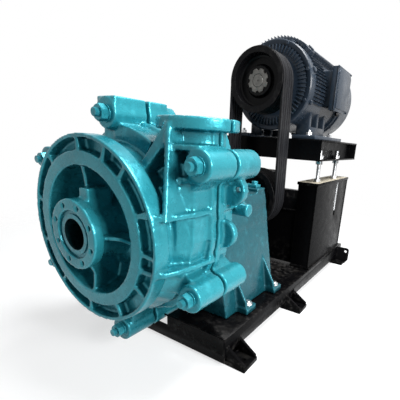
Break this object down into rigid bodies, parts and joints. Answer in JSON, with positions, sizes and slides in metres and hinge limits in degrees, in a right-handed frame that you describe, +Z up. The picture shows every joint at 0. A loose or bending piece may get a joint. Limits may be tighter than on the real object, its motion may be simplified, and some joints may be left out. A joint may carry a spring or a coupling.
{
  "type": "slurry pump",
  "caption": "Belt-driven centrifugal slurry pump: split ribbed casing, bearing bracket, V-belts and a motor carried overhead on jacking studs, on one welded base.",
  "frame": {"origin": "on the floor, under the pump shaft, midway between the suction flange face and the rear end of the base", "axes": "+X to the discharge side, +Y from the suction flange to the belt drive along the shaft, +Z up"},
  "size_m": [0.914, 2.08, 1.4455],
  "materials": {
    "teal_paint": "gloss",
    "black_paint": "gloss",
    "motor_grey": "satin",
    "cast_iron": "as cast",
    "bright_steel": "machined",
    "zinc_plate": "zinc plated",
    "belt_rubber": "matt",
    "packing_fibre": "braided",
    "brass": "machined"
  },
  "bodies": {
    "base": {"base_frame": "black_paint", "bearing_bracket": "teal_paint", "bearing_housing": "teal_paint", "bracket_foot_bolt_1": "zinc_plate", "bracket_foot_bolt_2": "zinc_plate", "bracket_foot_bolt_3": "zinc_plate", "bracket_foot_bolt_4": "zinc_plate", "casing_stud_1": "teal_paint", "casing_stud_2": "teal_paint", "casing_stud_3": "teal_paint", "casing_stud_4": "teal_paint", "casing_stud_5": "teal_paint", "casing_stud_6": "teal_paint", "column_left": "black_paint", "column_right": "black_paint", "column_tie_beam": "black_paint", "frame_plate_liner": "cast_iron", "front_bearing": "bright_steel", "front_bearing_clamp": "teal_paint", "front_bearing_cover": "teal_paint", "front_casing_half": "teal_paint", "jacking_stud_1": "zinc_plate", "jacking_stud_2": "zinc_plate", "jacking_stud_3": "zinc_plate", "jacking_stud_4": "zinc_plate", "lantern_ring": "brass", "packing_gland": "cast_iron", "packing_inner": "packing_fibre", "packing_outer": "packing_fibre", "rear_bearing": "bright_steel", "rear_bearing_clamp": "teal_paint", "rear_bearing_cover": "teal_paint", "rear_casing_half": "teal_paint", "stuffing_box": "teal_paint", "throat_bush": "cast_iron", "v_belt_1": "belt_rubber", "v_belt_2": "belt_rubber", "v_belt_3": "belt_rubber", "v_belt_4": "belt_rubber", "v_belt_5": "belt_rubber", "volute_liner": "cast_iron"},
    "pump_rotor": {"impeller": "cast_iron", "pump_shaft": "bright_steel", "shaft_sleeve": "bright_steel", "pump_pulley": "cast_iron", "pump_taper_bush": "bright_steel"},
    "motor_mount": {"motor_platform": "black_paint", "motor_frame": "motor_grey", "motor_front_shield": "motor_grey", "motor_rear_shield": "motor_grey", "fan_cowl": "motor_grey", "terminal_box": "motor_grey", "terminal_box_cover": "motor_grey", "cable_gland": "brass", "motor_eyebolt": "zinc_plate"},
    "motor_rotor": {"motor_shaft": "bright_steel", "motor_pulley": "cast_iron", "motor_taper_bush": "bright_steel", "cooling_fan": "motor_grey"}
  },
  "joints": [
    {"name": "pump_rotor_spin", "type": "hinge", "parent": "base", "child": "pump_rotor", "pos_m": [0, -0.14, 0.55], "axis": [0, 1, 0], "continuous": true},
    {"name": "motor_mount_height", "type": "slide", "parent": "base", "child": "motor_mount", "axis": [0, 0, 1], "range_m": [-0.03, 0.01], "deforming": ["v_belt_1", "v_belt_2", "v_belt_3", "v_belt_4", "v_belt_5"]},
    {"name": "motor_rotor_spin", "type": "hinge", "parent": "motor_mount", "child": "motor_rotor", "pos_m": [0, 0.36, 1.178], "axis": [0, 1, 0], "continuous": true}
  ],
  "couplings": [
    {"joint": "pump_rotor_spin", "follows": "motor_rotor_spin", "ratio": 0.95238}
  ]
}
